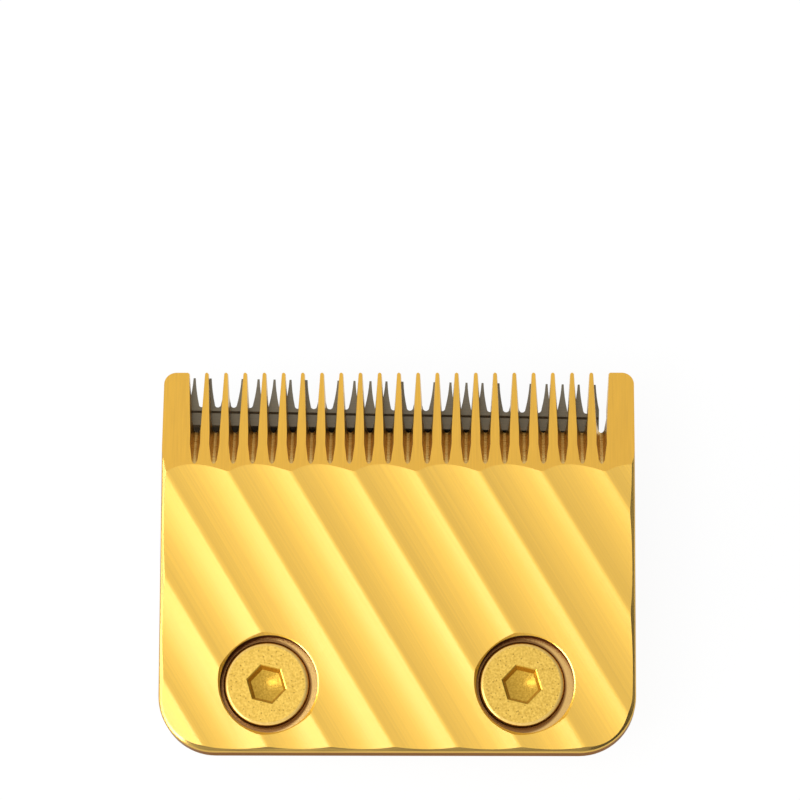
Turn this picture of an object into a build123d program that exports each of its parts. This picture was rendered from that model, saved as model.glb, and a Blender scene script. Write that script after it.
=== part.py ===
"""Hair clipper blade set: a fluted comb blade, the cutter blade that slides behind it and two socket screws.

Millimetres. The origin lies midway between the two screw holes, on the ground back of the comb.
+X runs along the tooth row, +Y points to the tooth tips and +Z comes out of the fluted face.
"""

import os
from math import ceil, cos, floor, radians, sin, tan

from build123d import *

# Comb blade: outline and thickness
comb_width = 46.2
tip_reach = 31.15  # hole line to tooth tips
heel_reach = 6.65  # hole line to heel
comb_thickness = 3.2  # back to the crests of the flutes
tip_thickness = 0.45
bevel_length = 10.4  # tooth tips to where the bevel meets the crests
heel_radius = 5.5
tip_corner_radius = 1.2
edge_chamfer = 0.52  # width of the chamfer round the face, at a crest
grinding_stock = 0.2  # blank left above the crests before the flutes are ground

# Flats that make up the round end of each small slot and gullet
round_sides = 16

# Comb teeth: the slots between them are ground on a slant, down from the face to the back
tooth_pitch = 1.893
slot_count = 22
tooth_root_width = 0.89
tooth_tip_width = 0.32
tooth_tip_chamfer = 0.1
slot_length = 5.94  # tooth tips to the end of a slot, on the back
slot_end_radius = 0.33
slot_shoulder = 1.4  # end of a slot to its full root width, on the back
slot_taper_length = 4.2  # stretch over which the teeth narrow to their tips
slot_ramp_angle = 39.5  # slope of a slot's end, from the back

# Flutes: shallow hollows ground across the face on a slant
flute_pitch = 5.24
flute_depth = 0.21
flute_angle = 31.2  # from the Y axis towards +X, going to the heel
flute_offset = 1.87  # from the origin to the nearest crest
crest_radius = 2.0

# Back of the comb: two grooves part the cutting land, the rail for the cutter's rear and the seat
back_groove_depth = 0.6
cutting_land = 10.5  # tooth tips to the first groove
rail_margin = 1.1  # rail left in front of and behind the cutter's rear land
seat_groove_width = 1.5

# Screw holes in the comb
hole_spacing = 24.8
hole_clearance = 0.6
counterbore_radius = 4.75
counterbore_floor = 1.25  # back to the floor of a counterbore
rim_chamfer = 0.1  # at the bottom of a flute

# Socket screws, which lie a little to one side in their holes
screw_spacing = 24.7
screw_shift = -0.28
screw_radius = 2.0
neck_radius = 1.6
neck_reach = 0.6  # below the back of the comb
screw_reach = 5.0  # below the back of the comb
thread_chamfer = 0.35
head_radius = 4.2
head_height = 1.45
head_chamfer = 0.3
socket_across_flats = 3.36
socket_depth = 1.1
socket_taper = 14.0
socket_chamfer = 0.08
socket_point = 0.45
socket_angle = -13.5

# Cutter blade: teeth and section
cutter_tooth_count = 27
cutter_pitch = 1.577
cutter_tip_width = 0.2
gullet_depth = 2.9
gullet_floor_radius = 0.31
gullet_waist_width = 0.95
gullet_waist_depth = 1.8
cutter_end_margin = 0.46  # last tooth's centre line to the end of the cutter
cutter_depth = 19.6
cutter_front_land = 3.25
cutter_step = 0.2
cutter_strip = 1.2
cutter_hollow = 0.9
cutter_rear_land = 3.0
cutter_thickness = 1.9
cutter_tip_thickness = 0.35
cutter_bevel_length = 7.0
cutter_corner_radius = 1.0

# Cutter blade: how it lies behind the comb
cutter_setback = 0.78  # behind the comb's tips, at the middle
cutter_shift = -1.23
cutter_skew = -0.98

# Rib under the rear of the cutter, with the notch for the drive pin and two holes for the spring
rib_length = 31.0
rib_width = 5.0
rib_height = 3.1
rib_inset = 0.6  # rib to the cutter's rear edge
rib_chamfer = 0.4
drive_notch_width = 5.2
spring_hole_spacing = 19.0
spring_hole_radius = 1.0
spring_hole_depth = 2.0

os.makedirs("parts", exist_ok=True)

# Comb blade
comb_length = tip_reach + heel_reach
comb_middle = (tip_reach - heel_reach) / 2
blank_height = comb_thickness + grinding_stock
blank_chamfer = edge_chamfer + grinding_stock

with BuildPart() as comb:
    with BuildSketch() as outline:
        with Locations((0, comb_middle)):
            Rectangle(comb_width, comb_length)
        fillet(outline.vertices().group_by(Axis.Y)[0], heel_radius)
        fillet(outline.vertices().group_by(Axis.Y)[-1], tip_corner_radius)
    extrude(amount=blank_height)
    chamfer(comb.faces().sort_by(Axis.Z)[-1].edges(), blank_chamfer)

    # A bevel thins the blade to its tooth tips
    bevel_slope = (comb_thickness - tip_thickness) / bevel_length
    bevel_top = blank_height + grinding_stock
    bevel_front = tip_reach + tip_corner_radius
    with BuildSketch(Plane.YZ):
        with BuildLine():
            Polyline(
                (bevel_front, tip_thickness - bevel_slope * tip_corner_radius),
                (tip_reach - (bevel_top - tip_thickness) / bevel_slope, bevel_top),
                (bevel_front, bevel_top),
                close=True,
            )
        make_face()
    extrude(amount=comb_width, both=True, mode=Mode.SUBTRACT)

    # The flutes are one row of hollow arcs with softened crests, swept across the face on the slant
    slant = radians(flute_angle)
    across = Vector(cos(slant), sin(slant), 0)
    along = Vector(sin(slant), -cos(slant), 0)
    face_reach = comb_width / 2 * cos(slant) + tip_reach * sin(slant)
    first_crest = floor((-face_reach - flute_offset) / flute_pitch)
    last_crest = ceil((face_reach - flute_offset) / flute_pitch)
    crests = [flute_offset + k * flute_pitch for k in range(first_crest, last_crest + 1)]
    flute_top = 2 * grinding_stock
    with BuildSketch(Plane((0, 0, comb_thickness), x_dir=across, z_dir=along)) as flutes:
        with BuildLine():
            for crest, next_crest in zip(crests, crests[1:]):
                ThreePointArc((crest, 0), ((crest + next_crest) / 2, -flute_depth), (next_crest, 0))
            Polyline((crests[-1], 0), (crests[-1], flute_top), (crests[0], flute_top), (crests[0], 0))
        make_face()
        fillet(flutes.vertices().group_by(Axis.Y)[0].sort_by(Axis.X)[1:-1], crest_radius)
    extrude(amount=comb_length + comb_width, both=True, mode=Mode.SUBTRACT)

    # Counterbored screw holes, with a small cone that breaks each rim
    with Locations((0, 0, comb_thickness)):
        with GridLocations(hole_spacing, 0, 2, 1):
            CounterBoreHole(
                radius=screw_radius + hole_clearance,
                counter_bore_radius=counterbore_radius,
                counter_bore_depth=comb_thickness - counterbore_floor,
            )
    rim_height = comb_thickness - flute_depth - rim_chamfer
    cone_height = blank_height - rim_height
    with Locations((0, 0, rim_height)):
        with GridLocations(hole_spacing, 0, 2, 1):
            Cone(
                bottom_radius=counterbore_radius,
                top_radius=counterbore_radius + cone_height,
                height=cone_height,
                align=(Align.CENTER, Align.CENTER, Align.MIN),
                mode=Mode.SUBTRACT,
            )

    # Slots between the teeth, drawn square to the slant on which their round ends climb to the face
    ramp = radians(slot_ramp_angle)
    slot_end = tip_reach - slot_length
    slot_mouth = tip_reach + tip_thickness / tan(ramp)
    shoulder = slot_shoulder * sin(ramp)
    mouth = (slot_mouth - slot_end) * sin(ramp)
    past_mouth = mouth + tip_corner_radius
    taper_start = mouth - slot_taper_length * sin(ramp)
    root_half = (tooth_pitch - tooth_root_width) / 2
    mouth_half = (tooth_pitch - tooth_tip_width) / 2
    with BuildSketch(Plane((0, slot_end, 0), x_dir=(1, 0, 0), z_dir=(0, -cos(ramp), sin(ramp)))):
        with GridLocations(tooth_pitch, 0, slot_count, 1):
            with Locations((0, slot_end_radius)):
                RegularPolygon(slot_end_radius, round_sides)
            Polygon(
                (-slot_end_radius, slot_end_radius),
                (slot_end_radius, slot_end_radius),
                (root_half, shoulder),
                (root_half, taper_start),
                (mouth_half, mouth),
                (mouth_half, past_mouth),
                (-mouth_half, past_mouth),
                (-mouth_half, mouth),
                (-root_half, taper_start),
                (-root_half, shoulder),
                align=None,
            )
    extrude(amount=2 * blank_height / sin(ramp), both=True, mode=Mode.SUBTRACT)
    front_edges = comb.edges().group_by(Axis.Y)[-1]
    chamfer([edge for edge in front_edges if abs(edge.tangent_at(0).Z) > 0.5], tooth_tip_chamfer)

    # Grooves across the back, in front of and behind the rail that the cutter's rear land runs on
    cutter_rear = tip_reach - cutter_setback - cutter_depth
    rail_rear = cutter_rear - rail_margin
    rail_front = cutter_rear + cutter_rear_land + rail_margin
    front_groove_width = tip_reach - cutting_land - rail_front
    with BuildSketch():
        with Locations((0, rail_front + front_groove_width / 2)):
            Rectangle(2 * comb_width, front_groove_width)
        with Locations((0, rail_rear - seat_groove_width / 2)):
            Rectangle(2 * comb_width, seat_groove_width)
    extrude(amount=back_groove_depth, mode=Mode.SUBTRACT)

comb.part.label = "comb_blade"
export_step(comb.part, "parts/comb_blade.step")

# Socket screw, with its head on the floor of a counterbore and a neck thinner than its thread
head_top = counterbore_floor + head_height
socket_tip = head_top - socket_depth - socket_point

with BuildPart() as screw:
    with BuildSketch(Plane.XZ) as section:
        with BuildLine():
            Polyline(
                (0, head_top),
                (head_radius, head_top),
                (head_radius, counterbore_floor),
                (neck_radius, counterbore_floor),
                (neck_radius, -neck_reach),
                (screw_radius, -neck_reach),
                (screw_radius, -screw_reach),
                (0, -screw_reach),
                close=True,
            )
        make_face()
        chamfer(section.vertices().group_by(Axis.X)[-1].sort_by(Axis.Y)[-1], head_chamfer)
        chamfer(section.vertices().group_by(Axis.X)[2], thread_chamfer)
    revolve(axis=Axis.Z)
    with BuildSketch(Plane.XY.offset(head_top)):
        RegularPolygon(socket_across_flats / 2, 6, major_radius=False, rotation=socket_angle)
    extrude(amount=-socket_depth, taper=socket_taper, mode=Mode.SUBTRACT)
    socket_floor = screw.faces().filter_by(Axis.Z).sort_by(Axis.Z)[-2]
    loft([socket_floor, Vertex(0, 0, socket_tip)], mode=Mode.SUBTRACT)
    head_face = screw.faces().filter_by(Axis.Z).sort_by(Axis.Z)[-1]
    chamfer(head_face.inner_wires()[0].edges(), socket_chamfer)

with BuildPart() as mounting_screws:
    with Locations((screw_shift, 0, 0)):
        with GridLocations(screw_spacing, 0, 2, 1):
            add(screw.part)

mounting_screws.part.label = "mounting_screws"
export_step(mounting_screws.part, "parts/mounting_screws.step")

# Cutter blade
cutter_width = (cutter_tooth_count - 1) * cutter_pitch + 2 * cutter_end_margin
cutter_plane = Plane((cutter_shift, tip_reach - cutter_setback, 0)).rotated((0, 0, cutter_skew))
cutter_side = Plane(cutter_plane.origin, x_dir=cutter_plane.y_dir, z_dir=cutter_plane.x_dir)
strip_end = cutter_front_land + cutter_step + cutter_strip
rib_middle = -cutter_depth + rib_inset + rib_width / 2

gullet_half = (cutter_pitch - cutter_tip_width) / 2
floor_centre = gullet_floor_radius - gullet_depth

with BuildSketch() as gullet:
    with BuildLine():
        for side in (-1, 1):
            ThreePointArc(
                (side * gullet_floor_radius, floor_centre),
                (side * gullet_waist_width / 2, -gullet_waist_depth),
                (side * gullet_half, 0),
            )
        Line((-gullet_half, 0), (gullet_half, 0))
        Line((-gullet_floor_radius, floor_centre), (gullet_floor_radius, floor_centre))
    make_face()
    with Locations((0, floor_centre)):
        RegularPolygon(gullet_floor_radius, round_sides)

with BuildPart() as cutter:
    with BuildSketch(cutter_side):
        with BuildLine():
            Polyline(
                (0, 0),
                (-cutter_front_land, 0),
                (-cutter_front_land - cutter_step, -cutter_step),
                (-strip_end, -cutter_step),
                (-strip_end - cutter_hollow + cutter_step, -cutter_hollow),
                (-cutter_depth + cutter_rear_land + cutter_hollow, -cutter_hollow),
                (-cutter_depth + cutter_rear_land, 0),
                (-cutter_depth, 0),
                (-cutter_depth, -cutter_thickness),
                (-cutter_bevel_length, -cutter_thickness),
                (0, -cutter_tip_thickness),
                close=True,
            )
        make_face()
    extrude(amount=cutter_width / 2, both=True)
    fillet(cutter.edges().filter_by(Axis.Z).sort_by(Axis.Y)[:2], cutter_corner_radius)

    # Rib under the rear, open in the middle for the drive pin
    with BuildSketch(cutter_plane.offset(-cutter_thickness)):
        with Locations((0, rib_middle)):
            Rectangle(rib_length, rib_width)
            Rectangle(drive_notch_width, rib_width, mode=Mode.SUBTRACT)
    extrude(amount=-rib_height)
    chamfer(cutter.faces().group_by(Axis.Z)[0].edges(), rib_chamfer)

    # Blind holes for the ends of the spring
    with Locations(cutter_plane.offset(-cutter_thickness - rib_height)):
        with Locations((0, rib_middle)):
            with GridLocations(spring_hole_spacing, 0, 2, 1):
                Cylinder(
                    spring_hole_radius,
                    spring_hole_depth,
                    align=(Align.CENTER, Align.CENTER, Align.MIN),
                    mode=Mode.SUBTRACT,
                )

    # Gullets with hollow flanks and round floors leave the teeth between them
    with BuildSketch(cutter_plane):
        with GridLocations(cutter_pitch, 0, cutter_tooth_count + 1, 1):
            add(gullet.sketch)
    extrude(amount=-cutter_thickness, mode=Mode.SUBTRACT)

cutter.part.label = "cutter_blade"
export_step(cutter.part, "parts/cutter_blade.step")
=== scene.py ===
from math import atan2, cos, pi, radians

import bpy
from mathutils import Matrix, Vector


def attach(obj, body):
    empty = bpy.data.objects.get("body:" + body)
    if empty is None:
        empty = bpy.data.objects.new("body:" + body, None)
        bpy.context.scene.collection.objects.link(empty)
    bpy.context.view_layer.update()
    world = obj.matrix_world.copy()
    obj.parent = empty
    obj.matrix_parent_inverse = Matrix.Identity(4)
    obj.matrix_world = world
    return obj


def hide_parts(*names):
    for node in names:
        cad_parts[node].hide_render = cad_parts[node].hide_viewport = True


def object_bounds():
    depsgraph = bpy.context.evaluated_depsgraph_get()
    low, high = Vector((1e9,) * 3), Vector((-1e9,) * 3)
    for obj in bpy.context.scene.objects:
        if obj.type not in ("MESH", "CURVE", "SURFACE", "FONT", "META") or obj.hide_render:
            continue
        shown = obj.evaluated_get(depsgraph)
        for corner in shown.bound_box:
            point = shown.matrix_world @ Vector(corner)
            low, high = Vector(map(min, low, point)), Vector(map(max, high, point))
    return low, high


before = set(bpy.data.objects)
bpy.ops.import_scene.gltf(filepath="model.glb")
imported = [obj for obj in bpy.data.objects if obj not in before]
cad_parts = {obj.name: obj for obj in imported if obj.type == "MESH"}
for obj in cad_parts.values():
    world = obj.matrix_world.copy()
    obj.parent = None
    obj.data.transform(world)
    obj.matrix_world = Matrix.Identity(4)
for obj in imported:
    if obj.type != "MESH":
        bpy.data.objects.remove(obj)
cad_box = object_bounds()


# Comb blade: the fixed blade, ground from hardened steel and coated gold all over.
# Slanted flutes run across its face, and the bevel in front carries the slotted teeth.
# Two screws through the counterbores hold it on the clipper.
WELD_WITHIN = 1e-6
FLAT_BELOW = radians(0.3)
SMOOTH_BELOW = radians(11)
HOLE_SPACING = 0.0248
COUNTERBORE_RADIUS = 0.00475
ON_WALL = 0.00001
RIM_REACH = 0.0006
FLOORS_BELOW = 0.002
CHAMFER_FOOT = 0.00268
ON_FOOT = 2e-6
FOOT_ROUND = 0.00018
SLOTS_START = 0.0205
SLOTS_HALF_WIDTH = 0.0212
# Directions and sizes of the grinding marks, and how strongly they show
FLUTE_SLANT = radians(31.2)
ALONG_TOOTH_ROW = radians(90)
FLUTE_MARKS = (0.00016, 0.04, 0.001)
BEVEL_MARKS = (0.00016, 0.02, 0.001)
EDGE_MARKS = (0.006, 0.006, 0.00015)
SLOT_MARKS = (0.0008, 0.00012, 0.0002)
BORE_FLOOR_MARKS = (0.0001, 0.0001, 0.0001)
BORE_WALL_MARKS = (0.0004, 0.0004, 0.0001)
MARK_LEVELS = (0.3, 0.7)
GLOSS_SWING = 0.06
GOLD = (0.88, 0.52, 0.017, 1)
DEEP_GOLD = (0.79, 0.455, 0.013, 1)
GOLD_GRAZED = (1.0, 0.75, 0.30, 1)
BEVEL_GOLD = (0.86, 0.475, 0.025, 1)
BEVEL_DEEP = (0.78, 0.42, 0.020, 1)
# Chamfers and side walls take a darker gold than the face, painted shade for the dark surroundings their
# polished faces mirror; the sides are darkest where seen edge-on
CHAMFER_PAINTED_SHADE = (0.76, 0.48, 0.085, 1)
CHAMFER_PAINTED_SHADE_DEEP = (0.58, 0.355, 0.058, 1)
SIDE_PAINTED_SHADE = (0.76, 0.48, 0.12, 1)
SIDE_PAINTED_SHADE_DEEP = (0.63, 0.38, 0.08, 1)
EDGE_GRAZED = (0.55, 0.34, 0.10, 1)
SIDE_SHADE_GRAZED = (0.20, 0.09, 0.0, 1)
SLOT_GOLD = (0.84, 0.58, 0.20, 1)
SLOT_DEEP = (0.58, 0.36, 0.11, 1)
BORE_FLOOR = (0.76, 0.48, 0.17, 1)
BORE_FLOOR_DEEP = (0.67, 0.41, 0.135, 1)
# Dark brown painted shade for the counterbore walls, deep in their narrow gaps
BORE_WALL_PAINTED_SHADE = (0.28, 0.135, 0.045, 1)
BORE_WALL_PAINTED_SHADE_DEEP = (0.18, 0.085, 0.028, 1)
BORE_GRAZED = (0.4, 0.22, 0.09, 1)
# Dark brown painted shade for the narrow gap round each screw head
BORE_PAINTED_SHADE = (0.24, 0.115, 0.038, 1)
WHITE = (1, 1, 1, 1)
COAT_IOR = 1.87
# Weight and roughness of the clear layer over the gold
NO_COAT = (0.0, 0.15)
FACE_COAT = (1.0, 0.25)
BEVEL_COAT = (0.6, 0.25)
EDGE_COAT = (0.42, 0.25)


def welded_copy(node, name, smooth_below):
    """Copies a node's loose triangles into a new piece, welds them and joins what lies flat."""
    piece = bpy.data.objects.new(name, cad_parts[node].data.copy())
    bpy.context.collection.objects.link(piece)
    bpy.ops.object.select_all(action="DESELECT")
    piece.select_set(True)
    bpy.context.view_layer.objects.active = piece
    bpy.ops.mesh.customdata_custom_splitnormals_clear()
    bpy.ops.object.mode_set(mode="EDIT")
    bpy.ops.mesh.select_all(action="SELECT")
    bpy.ops.mesh.remove_doubles(threshold=WELD_WITHIN)
    bpy.ops.mesh.dissolve_limited(angle_limit=FLAT_BELOW)
    bpy.ops.object.mode_set(mode="OBJECT")
    bpy.ops.object.shade_smooth_by_angle(angle=smooth_below)
    piece.data.materials.clear()
    return piece


def ground_metal(
    name, colour, deep_colour, mark_size, roughness, relief, mark_turn=0.0, coat=NO_COAT, grazed=WHITE
):
    """A coated metal with fine marks of mark_size, turned by mark_turn, tinted where it is seen edge-on."""
    material = bpy.data.materials.new(name)
    material.use_nodes = True
    nodes = material.node_tree.nodes
    links = material.node_tree.links
    shader = nodes["Principled BSDF"]
    shader.inputs["Metallic"].default_value = 1.0
    shader.inputs["Coat Weight"].default_value = coat[0]
    shader.inputs["Coat Roughness"].default_value = coat[1]
    shader.inputs["Coat IOR"].default_value = COAT_IOR
    shader.inputs["Specular Tint"].default_value = grazed

    place = nodes.new("ShaderNodeTexCoord")
    turned = nodes.new("ShaderNodeMapping")
    turned.vector_type = "TEXTURE"
    turned.inputs["Rotation"].default_value = (0, 0, mark_turn)
    turned.inputs["Scale"].default_value = mark_size
    links.new(place.outputs["Object"], turned.inputs["Vector"])
    lines = nodes.new("ShaderNodeTexNoise")
    lines.inputs["Scale"].default_value = 1.0
    lines.inputs["Detail"].default_value = 3.0
    links.new(turned.outputs["Vector"], lines.inputs["Vector"])
    marks = nodes.new("ShaderNodeMapRange")
    marks.inputs["From Min"].default_value = MARK_LEVELS[0]
    marks.inputs["From Max"].default_value = MARK_LEVELS[1]
    links.new(lines.outputs["Fac"], marks.inputs["Value"])

    tint = nodes.new("ShaderNodeMix")
    tint.data_type = "RGBA"
    tint.inputs["A"].default_value = deep_colour
    tint.inputs["B"].default_value = colour
    links.new(marks.outputs["Result"], tint.inputs["Factor"])
    links.new(tint.outputs["Result"], shader.inputs["Base Color"])

    gloss = nodes.new("ShaderNodeMapRange")
    gloss.inputs["To Min"].default_value = roughness - GLOSS_SWING
    gloss.inputs["To Max"].default_value = roughness + GLOSS_SWING
    links.new(marks.outputs["Result"], gloss.inputs["Value"])
    links.new(gloss.outputs["Result"], shader.inputs["Roughness"])

    bump = nodes.new("ShaderNodeBump")
    bump.inputs["Strength"].default_value = 1.0
    bump.inputs["Distance"].default_value = relief
    links.new(marks.outputs["Result"], bump.inputs["Height"])
    links.new(bump.outputs["Normal"], shader.inputs["Normal"])
    return material


comb = welded_copy("comb_blade", "fluted_comb", SMOOTH_BELOW)

# Tumbling has rounded the foot of the chamfer that runs round the face
bpy.ops.object.mode_set(mode="EDIT")
bpy.ops.mesh.select_mode(type="EDGE")
bpy.ops.mesh.select_all(action="DESELECT")
bpy.ops.object.mode_set(mode="OBJECT")
for edge in comb.data.edges:
    heights = [comb.data.vertices[index].co.z for index in edge.vertices]
    edge.select = all(abs(height - CHAMFER_FOOT) < ON_FOOT for height in heights)
bpy.ops.object.mode_set(mode="EDIT")
bpy.ops.mesh.bevel(offset=FOOT_ROUND, segments=5, affect="EDGES")
bpy.ops.object.mode_set(mode="OBJECT")
bpy.ops.object.shade_smooth_by_angle(angle=SMOOTH_BELOW)

FLUTES, BEVEL, EDGES, SIDES, SLOTS, FLOORS, WALLS, BACK = range(8)
comb_finishes = (
    ground_metal(
        "fluted_gold", GOLD, DEEP_GOLD, FLUTE_MARKS, roughness=0.42, relief=2e-6,
        mark_turn=FLUTE_SLANT, coat=FACE_COAT, grazed=GOLD_GRAZED,
    ),
    ground_metal(
        "bevel_gold", BEVEL_GOLD, BEVEL_DEEP, BEVEL_MARKS, roughness=0.40, relief=2e-6,
        coat=BEVEL_COAT, grazed=GOLD_GRAZED,
    ),
    # Chamfers and side walls are painted darker than the face gold, as shade for the dark surroundings they
    # mirror
    ground_metal(
        "edge_gold", CHAMFER_PAINTED_SHADE, CHAMFER_PAINTED_SHADE_DEEP, EDGE_MARKS, roughness=0.21, relief=5e-7,
        coat=EDGE_COAT, grazed=EDGE_GRAZED,
    ),
    ground_metal(
        "side_gold", SIDE_PAINTED_SHADE, SIDE_PAINTED_SHADE_DEEP, EDGE_MARKS, roughness=0.28, relief=5e-7, grazed=SIDE_SHADE_GRAZED
    ),
    ground_metal("slot_gold", SLOT_GOLD, SLOT_DEEP, SLOT_MARKS, roughness=0.32, relief=8e-6),
    ground_metal(
        "bore_floor_gold", BORE_FLOOR, BORE_FLOOR_DEEP, BORE_FLOOR_MARKS, roughness=0.20, relief=2e-6
    ),
    # The counterbore walls are painted dark brown as shade for the deep narrow gap round each head
    ground_metal(
        "bore_wall_painted_shade", BORE_WALL_PAINTED_SHADE, BORE_WALL_PAINTED_SHADE_DEEP, BORE_WALL_MARKS, roughness=0.45, relief=2e-6,
        grazed=BORE_GRAZED,
    ),
    ground_metal(
        "back_gold", GOLD, DEEP_GOLD, FLUTE_MARKS, roughness=0.40, relief=2e-6,
        mark_turn=ALONG_TOOTH_ROW, coat=FACE_COAT, grazed=GOLD_GRAZED,
    ),
)
for finish in comb_finishes:
    comb.data.materials.append(finish)

# Painted shade: the floor of each counterbore is painted dark brown round its screw head, as the shade in
# the narrow gap, and left light only on the wide side
SCREW_SPACING = 0.0247
SCREW_SHIFT = -0.00028
PAINTED_SHADE_OFFSET = -0.0003
PAINTED_SHADE_RADIUS = 0.0045
PAINTED_SHADE_WIDTH = 0.00025
nodes = comb_finishes[FLOORS].node_tree.nodes
links = comb_finishes[FLOORS].node_tree.links
place = nodes.new("ShaderNodeTexCoord")
flat = nodes.new("ShaderNodeVectorMath")
flat.operation = "MULTIPLY"
flat.inputs[1].default_value = (1, 1, 0)
links.new(place.outputs["Object"], flat.inputs[0])
nearest = nodes.new("ShaderNodeMath")
nearest.operation = "MINIMUM"
for side in (0, 1):
    across = SCREW_SHIFT + (side - 0.5) * SCREW_SPACING + PAINTED_SHADE_OFFSET
    from_shade_centre = nodes.new("ShaderNodeVectorMath")
    from_shade_centre.operation = "DISTANCE"
    from_shade_centre.inputs[1].default_value = (across, 0, 0)
    links.new(flat.outputs["Vector"], from_shade_centre.inputs[0])
    links.new(from_shade_centre.outputs["Value"], nearest.inputs[side])
unshaded = nodes.new("ShaderNodeMapRange")
unshaded.interpolation_type = "SMOOTHSTEP"
unshaded.inputs["From Min"].default_value = PAINTED_SHADE_RADIUS
unshaded.inputs["From Max"].default_value = PAINTED_SHADE_RADIUS + PAINTED_SHADE_WIDTH
links.new(nearest.outputs["Value"], unshaded.inputs["Value"])
shade_painted = nodes.new("ShaderNodeMix")
shade_painted.data_type = "RGBA"
shade_painted.inputs["A"].default_value = BORE_PAINTED_SHADE
links.new(unshaded.outputs["Result"], shade_painted.inputs["Factor"])
links.new(nodes["Mix"].outputs["Result"], shade_painted.inputs["B"])
links.new(shade_painted.outputs["Result"], nodes["Principled BSDF"].inputs["Base Color"])

# Each face gets the finish of the cut that made it, told by where it lies and how much it faces each way
SQUARELY = 0.9
LEVEL = 0.99
HARDLY = 0.1
NOT_ASIDE = 0.01
BEVEL_LEAN = (0.2, 0.3)
for face in comb.data.polygons:
    middle, normal = face.center, face.normal
    from_hole = min((middle.xy - Vector((side * HOLE_SPACING / 2, 0))).length for side in (-1, 1))
    leans = BEVEL_LEAN[0] < normal.y < BEVEL_LEAN[1] and abs(normal.x) < NOT_ASIDE
    if normal.z < -SQUARELY:
        face.material_index = BACK
    elif normal.z > SQUARELY and leans:
        face.material_index = BEVEL
    elif normal.z > LEVEL and middle.z < FLOORS_BELOW:
        face.material_index = FLOORS
    elif normal.z > SQUARELY:
        face.material_index = FLUTES
    elif abs(normal.z) < HARDLY and from_hole < COUNTERBORE_RADIUS + ON_WALL:
        face.material_index = WALLS
    elif from_hole < COUNTERBORE_RADIUS + RIM_REACH:
        face.material_index = FLUTES
    elif normal.y > SQUARELY:
        face.material_index = BEVEL
    elif middle.y > SLOTS_START and abs(middle.x) < SLOTS_HALF_WIDTH:
        face.material_index = SLOTS
    elif normal.z > HARDLY:
        face.material_index = EDGES
    else:
        face.material_index = SIDES
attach(comb, "comb")
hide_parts("comb_blade")


# Cutter blade: the moving blade that slides behind the comb, ground steel with a satin black coating.
# The clipper's spring presses it against the comb, and a drive pin in its rear notch moves it.
CUTTER_BLACK = (0.20, 0.175, 0.13, 1)
CUTTER_DEEP = (0.145, 0.125, 0.09, 1)
# Darker black painted as shade on the step behind the cutting land
STEP_PAINTED_SHADE = (0.12, 0.105, 0.08, 1)
STEP_PAINTED_SHADE_DEEP = (0.09, 0.08, 0.06, 1)
CUTTER_MARKS = (0.0001, 0.004, 0.0005)
STEP_DEPTH = 0.0002
STEP_LEAN = 0.5
ON_LEVEL = 1e-6

cutter = welded_copy("cutter_blade", "black_cutter", SMOOTH_BELOW)
cutter_finishes = (
    ground_metal(
        "satin_black", CUTTER_BLACK, CUTTER_DEEP, CUTTER_MARKS, roughness=0.48, relief=2e-6,
        mark_turn=ALONG_TOOTH_ROW,
    ),
    ground_metal(
        "step_painted_shade", STEP_PAINTED_SHADE, STEP_PAINTED_SHADE_DEEP, CUTTER_MARKS, roughness=0.55, relief=2e-6,
        mark_turn=ALONG_TOOTH_ROW,
    ),
)
for finish in cutter_finishes:
    cutter.data.materials.append(finish)

# The small step behind the cutting land is painted darker, as shade in the crease behind the land
for face in cutter.data.polygons:
    lowest = min(cutter.data.vertices[index].co.z for index in face.vertices)
    slopes = face.normal.y < -STEP_LEAN and face.normal.z > STEP_LEAN
    face.material_index = int(slopes and lowest > -STEP_DEPTH - ON_LEVEL)
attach(cutter, "cutter")
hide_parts("cutter_blade")


# Socket screws: two short steel screws with low heads, rolled threads and a grainy gold plating.
# They sit in the comb's counterbores, a little to one side.
SCREW_SMOOTH_BELOW = radians(18.5)
SCREW_GOLD = (0.83, 0.56, 0.12, 1)
SCREW_DEEP = (0.58, 0.36, 0.06, 1)
RIM_GOLD = (0.84, 0.55, 0.12, 1)
RIM_DEEP = (0.72, 0.45, 0.08, 1)
# The hex socket takes a darker gold than the head, painted shade for its recess
SOCKET_PAINTED_SHADE = (0.67, 0.40, 0.06, 1)
SOCKET_PAINTED_SHADE_DEEP = (0.47, 0.265, 0.03, 1)
PIT_BROWN = (0.34, 0.20, 0.035, 1)
PIT_SPACING = 0.0004
PIT_SHARE = 0.22
RIM_COAT = (0.6, 0.15)
GRAIN_MARKS = (0.00022, 0.00022, 0.00022)
RIM_MARKS = (0.0003, 0.0003, 0.0003)
SOCKET_MARKS = (0.0002, 0.0002, 0.0002)
THREAD_MARKS = (0.0003, 0.0003, 0.0001)
HEAD_TOP = 0.0027
HEAD_RADIUS = 0.0042
HEAD_CHAMFER = 0.0003
RIM_ROUND = 0.00016
SOCKET_REACH = 0.0022
THREAD_TOP = -0.00095
THREAD_END = -0.00465
THREAD_CREST = 0.002
THREAD_CORE = 0.00162
THREAD_PITCH = 0.0007
THREAD_CUTS = 52
LONG_EDGE = 0.001
ON_RADIUS = 1e-5


def from_axis(point):
    """The place of a point seen from the axis of the nearer screw."""
    side = SCREW_SPACING / 2 if point.x > SCREW_SHIFT else -SCREW_SPACING / 2
    return Vector((point.x - SCREW_SHIFT - side, point.y))


def on_shank(point):
    """True where a point lies on the plain shank that the thread is rolled into."""
    in_reach = THREAD_END - ON_LEVEL < point.z < THREAD_TOP + ON_LEVEL
    return in_reach and abs(from_axis(point).length - THREAD_CREST) < ON_RADIUS


screws = welded_copy("mounting_screws", "socket_screws", SCREW_SMOOTH_BELOW)

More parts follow.
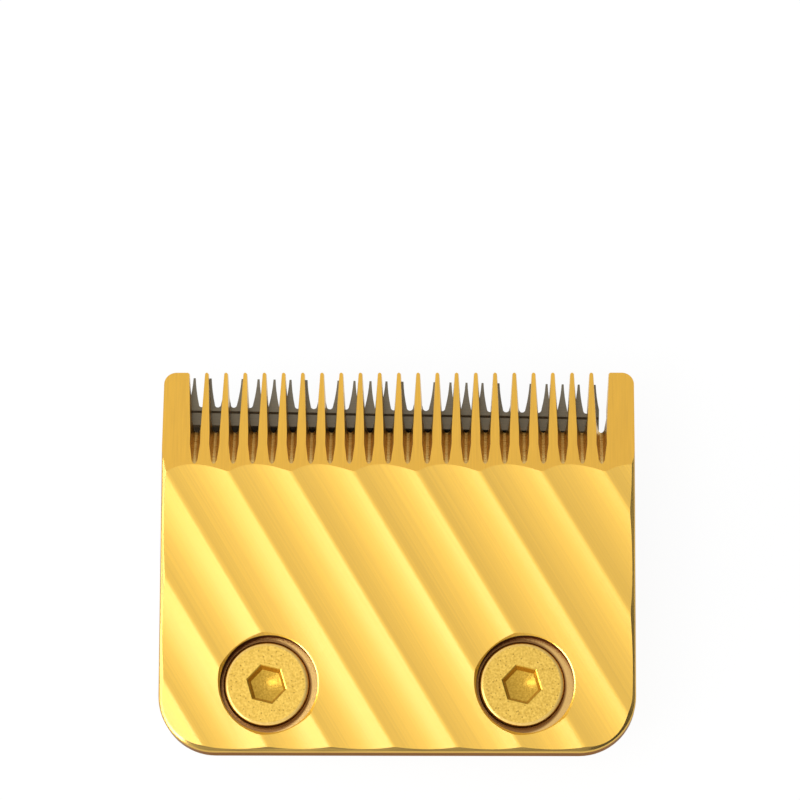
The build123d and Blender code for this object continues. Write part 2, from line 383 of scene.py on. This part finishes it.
# The edge of each head is rounded
bpy.ops.object.mode_set(mode="EDIT")
bpy.ops.mesh.select_mode(type="EDGE")
bpy.ops.mesh.select_all(action="DESELECT")
bpy.ops.object.mode_set(mode="OBJECT")
for edge in screws.data.edges:
    on_rim = []
    for index in edge.vertices:
        point = screws.data.vertices[index].co
        radius = from_axis(point).length
        top = abs(point.z - HEAD_TOP) < ON_LEVEL and abs(radius - HEAD_RADIUS + HEAD_CHAMFER) < ON_RADIUS
        side = abs(point.z - HEAD_TOP + HEAD_CHAMFER) < ON_LEVEL and abs(radius - HEAD_RADIUS) < ON_RADIUS
        on_rim.append((top, side))
    edge.select = on_rim[0] == on_rim[1] and any(on_rim[0])
bpy.ops.object.mode_set(mode="EDIT")
bpy.ops.mesh.bevel(offset=RIM_ROUND, segments=3, affect="EDGES")

# The shank is cut into fine rings, which are then pressed in along a right-hand thread
bpy.ops.mesh.select_all(action="DESELECT")
bpy.ops.object.mode_set(mode="OBJECT")
for edge in screws.data.edges:
    start, end = (screws.data.vertices[index].co for index in edge.vertices)
    edge.select = on_shank(start) and on_shank(end) and abs(start.z - end.z) > LONG_EDGE
bpy.ops.object.mode_set(mode="EDIT")
bpy.ops.mesh.subdivide(number_cuts=THREAD_CUTS)
bpy.ops.object.mode_set(mode="OBJECT")
bpy.ops.object.shade_smooth_by_angle(angle=SCREW_SMOOTH_BELOW)
for vertex in screws.data.vertices:
    if on_shank(vertex.co):
        arm = from_axis(vertex.co)
        turn = atan2(arm.y, arm.x) - 2 * pi * vertex.co.z / THREAD_PITCH
        radius = THREAD_CORE + (THREAD_CREST - THREAD_CORE) * (1 + cos(turn)) / 2
        pressed = arm * (radius / THREAD_CREST - 1)
        vertex.co += Vector((pressed.x, pressed.y, 0))

HEADS, RIMS, SOCKETS, SHANKS = range(4)
screw_finishes = (
    ground_metal("grainy_gold", SCREW_GOLD, SCREW_DEEP, GRAIN_MARKS, roughness=0.42, relief=1e-5),
    ground_metal("rim_gold", RIM_GOLD, RIM_DEEP, RIM_MARKS, roughness=0.20, relief=1e-6, coat=RIM_COAT),
    ground_metal("socket_gold", SOCKET_PAINTED_SHADE, SOCKET_PAINTED_SHADE_DEEP, SOCKET_MARKS, roughness=0.21, relief=2e-6),
    ground_metal("thread_gold", RIM_GOLD, RIM_DEEP, THREAD_MARKS, roughness=0.30, relief=1e-6),
)
for finish in screw_finishes:
    screws.data.materials.append(finish)

# The plating has small dark pits
nodes = screw_finishes[HEADS].node_tree.nodes
links = screw_finishes[HEADS].node_tree.links
place = nodes.new("ShaderNodeTexCoord")
specks = nodes.new("ShaderNodeTexVoronoi")
specks.inputs["Scale"].default_value = 1 / PIT_SPACING
links.new(place.outputs["Object"], specks.inputs["Vector"])
sound = nodes.new("ShaderNodeMapRange")
sound.inputs["From Min"].default_value = PIT_SHARE / 2
sound.inputs["From Max"].default_value = PIT_SHARE
links.new(specks.outputs["Distance"], sound.inputs["Value"])
pitted = nodes.new("ShaderNodeMix")
pitted.data_type = "RGBA"
pitted.inputs["A"].default_value = PIT_BROWN
links.new(sound.outputs["Result"], pitted.inputs["Factor"])
links.new(nodes["Mix"].outputs["Result"], pitted.inputs["B"])
links.new(pitted.outputs["Result"], nodes["Principled BSDF"].inputs["Base Color"])

for face in screws.data.polygons:
    radius = from_axis(face.center).length
    if face.center.z > HEAD_TOP - ON_LEVEL:
        face.material_index = HEADS
    elif face.normal.z > HARDLY and radius > SOCKET_REACH:
        face.material_index = RIMS
    elif face.normal.z > HARDLY:
        face.material_index = SOCKETS
    else:
        face.material_index = SHANKS
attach(screws, "comb")
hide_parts("mounting_screws")


# Floor: a white paper table that the blade lies on.
# It glows to the camera and in reflections, so it stays white, and it keeps the blade's shadow.
FLOOR_WIDTH = 6.0
FLOOR_GLOW = 0.92
PAPER_WHITE = (0.95, 0.95, 0.95, 1)

bpy.ops.object.select_all(action="DESELECT")
bpy.ops.mesh.primitive_plane_add(size=FLOOR_WIDTH, location=(0, 0, cad_box[0].z))
floor = bpy.context.object
floor.name = "floor"
bpy.ops.object.transform_apply(location=True)
paper = bpy.data.materials.new("white_paper")
paper.use_nodes = True
nodes = paper.node_tree.nodes
links = paper.node_tree.links
nodes.clear()
light_path = nodes.new("ShaderNodeLightPath")
seen = nodes.new("ShaderNodeMath")
seen.operation = "MAXIMUM"
links.new(light_path.outputs["Is Camera Ray"], seen.inputs[0])
links.new(light_path.outputs["Is Glossy Ray"], seen.inputs[1])
seen_through = nodes.new("ShaderNodeMath")
seen_through.operation = "MAXIMUM"
links.new(seen.outputs["Value"], seen_through.inputs[0])
links.new(light_path.outputs["Is Transmission Ray"], seen_through.inputs[1])
share = nodes.new("ShaderNodeMath")
share.operation = "MULTIPLY"
share.inputs[1].default_value = FLOOR_GLOW
links.new(seen_through.outputs["Value"], share.inputs[0])
matte = nodes.new("ShaderNodeBsdfDiffuse")
matte.inputs["Color"].default_value = PAPER_WHITE
white = nodes.new("ShaderNodeEmission")
white.inputs["Strength"].default_value = 1.0
mixed = nodes.new("ShaderNodeMixShader")
links.new(share.outputs["Value"], mixed.inputs["Fac"])
links.new(matte.outputs["BSDF"], mixed.inputs[1])
links.new(white.outputs["Emission"], mixed.inputs[2])
surface = nodes.new("ShaderNodeOutputMaterial")
links.new(mixed.outputs["Shader"], surface.inputs["Surface"])
floor.data.materials.append(paper)


# Black card: a low strip of card that stands at the right and is seen only in reflections.
# The polished edges on that side mirror it and go dark.
CARD_PLACE = (0.10, -0.04)
CARD_LENGTH = 0.24
CARD_HEIGHT = 0.036
CARD_THICKNESS = 0.002
CARD_BLACK = (0.02, 0.02, 0.02, 1)
CARD_ROUGHNESS = 0.9

bpy.ops.object.select_all(action="DESELECT")
bpy.ops.mesh.primitive_cube_add(
    size=1,
    location=(CARD_PLACE[0], CARD_PLACE[1], cad_box[0].z + CARD_HEIGHT / 2),
    rotation=(0, 0, atan2(CARD_PLACE[1], CARD_PLACE[0])),
    scale=(CARD_THICKNESS, CARD_LENGTH, CARD_HEIGHT),
)
card = bpy.context.object
card.name = "black_card"
bpy.ops.object.transform_apply(location=True, rotation=True, scale=True)
card.visible_camera = False
card.visible_diffuse = False
card.visible_shadow = False
black = bpy.data.materials.new("black_card")
black.use_nodes = True
shader = black.node_tree.nodes["Principled BSDF"]
shader.inputs["Base Color"].default_value = CARD_BLACK
shader.inputs["Roughness"].default_value = CARD_ROUGHNESS
card.data.materials.append(black)


# Room: a bright ceiling that is brightest at the front left and dims once more at the far right.
# The walls below it are darker, and dim towards the right and the front.
WALLS_END = 0.06
CEILING_BEGINS = 0.40
CEILING_LEVEL = 1.03
CEILING_RISE = (-0.42, -0.20, 0)
FAR_RIGHT = (0.40, 0.80)
FAR_RIGHT_LEVEL = 0.72
WALL_RISE = (-0.85, 0.40, 0)
WALL_LEVELS = (0.12, 0.7)

world = bpy.data.worlds.new("studio_room")
bpy.context.scene.world = world
world.use_nodes = True
nodes = world.node_tree.nodes
links = world.node_tree.links
way = nodes.new("ShaderNodeTexCoord")
parts = nodes.new("ShaderNodeSeparateXYZ")
links.new(way.outputs["Generated"], parts.inputs["Vector"])
ceiling = nodes.new("ShaderNodeMapRange")
ceiling.interpolation_type = "SMOOTHSTEP"
ceiling.inputs["From Min"].default_value = WALLS_END
ceiling.inputs["From Max"].default_value = CEILING_BEGINS
links.new(parts.outputs["Z"], ceiling.inputs["Value"])
ceiling_rise = nodes.new("ShaderNodeVectorMath")
ceiling_rise.operation = "DOT_PRODUCT"
ceiling_rise.inputs[1].default_value = CEILING_RISE
links.new(way.outputs["Generated"], ceiling_rise.inputs[0])
ceiling_level = nodes.new("ShaderNodeMath")
ceiling_level.operation = "ADD"
ceiling_level.inputs[1].default_value = CEILING_LEVEL
links.new(ceiling_rise.outputs["Value"], ceiling_level.inputs[0])
far_right = nodes.new("ShaderNodeMapRange")
far_right.inputs["From Min"].default_value = FAR_RIGHT[0]
far_right.inputs["From Max"].default_value = FAR_RIGHT[1]
far_right.inputs["To Min"].default_value = 1.0
far_right.inputs["To Max"].default_value = FAR_RIGHT_LEVEL
links.new(parts.outputs["X"], far_right.inputs["Value"])
dimmed = nodes.new("ShaderNodeMath")
dimmed.operation = "MULTIPLY"
links.new(ceiling_level.outputs["Value"], dimmed.inputs[0])
links.new(far_right.outputs["Result"], dimmed.inputs[1])
wall_rise = nodes.new("ShaderNodeVectorMath")
wall_rise.operation = "DOT_PRODUCT"
wall_rise.inputs[1].default_value = WALL_RISE
links.new(way.outputs["Generated"], wall_rise.inputs[0])
walls = nodes.new("ShaderNodeMapRange")
walls.inputs["From Min"].default_value = -1.0
walls.inputs["From Max"].default_value = 1.0
walls.inputs["To Min"].default_value = WALL_LEVELS[0]
walls.inputs["To Max"].default_value = WALL_LEVELS[1]
links.new(wall_rise.outputs["Value"], walls.inputs["Value"])
level = nodes.new("ShaderNodeMix")
links.new(ceiling.outputs["Result"], level.inputs["Factor"])
links.new(walls.outputs["Result"], level.inputs["A"])
links.new(dimmed.outputs["Value"], level.inputs["B"])
room = nodes["Background"]
room.inputs["Color"].default_value = WHITE
links.new(level.outputs["Result"], room.inputs["Strength"])


# Lamps: a small soft box nearly overhead, a large one high at the front left, a long low strip
# at the left that catches the edges, and a weak soft box high at the left.
# All four are turned to the middle of the blade.
LAMP_AIM = (0, 0.012, 0)


def soft_box(place, width, height, power):
    """Hangs a rectangular lamp at a place and turns it to the blade."""
    bpy.ops.object.light_add(type="AREA", location=place)
    lamp = bpy.context.object
    lamp.data.shape = "RECTANGLE"
    lamp.data.size = width
    lamp.data.size_y = height
    lamp.data.energy = power
    lamp.visible_camera = False
    lamp.rotation_euler = (Vector(LAMP_AIM) - lamp.location).to_track_quat("-Z", "Y").to_euler()


soft_box((-0.084, 0.004, 0.32), width=0.05, height=0.09, power=0.043)
soft_box((-0.23, -0.16, 0.31), width=0.12, height=0.12, power=0.21)
soft_box((-0.30, -0.07, 0.05), width=0.40, height=0.09, power=1.235)
soft_box((-0.217, -0.02, 0.31), width=0.08, height=0.12, power=0.067)


# Camera: nearly straight above, a little towards the heel.
# Its focal length is given in pixels of the picture, which is 800 wide.
PICTURE_WIDTH = 800
FOCAL_PIXELS = 4656.9
CAMERA_PLACE = (0.01048, -0.05781, 0.45)
CAMERA_TURN = (radians(10.86), radians(1.274), radians(0.24))

camera_data = bpy.data.cameras.new("camera")
camera_data.sensor_width = 36
camera_data.lens = FOCAL_PIXELS * camera_data.sensor_width / PICTURE_WIDTH
camera_data.clip_start = 0.01
camera_data.clip_end = 20
camera = bpy.data.objects.new("camera", camera_data)
bpy.context.collection.objects.link(camera)
camera.location = CAMERA_PLACE
camera.rotation_euler = CAMERA_TURN
bpy.context.scene.camera = camera
bpy.context.scene.view_settings.view_transform = "Standard"
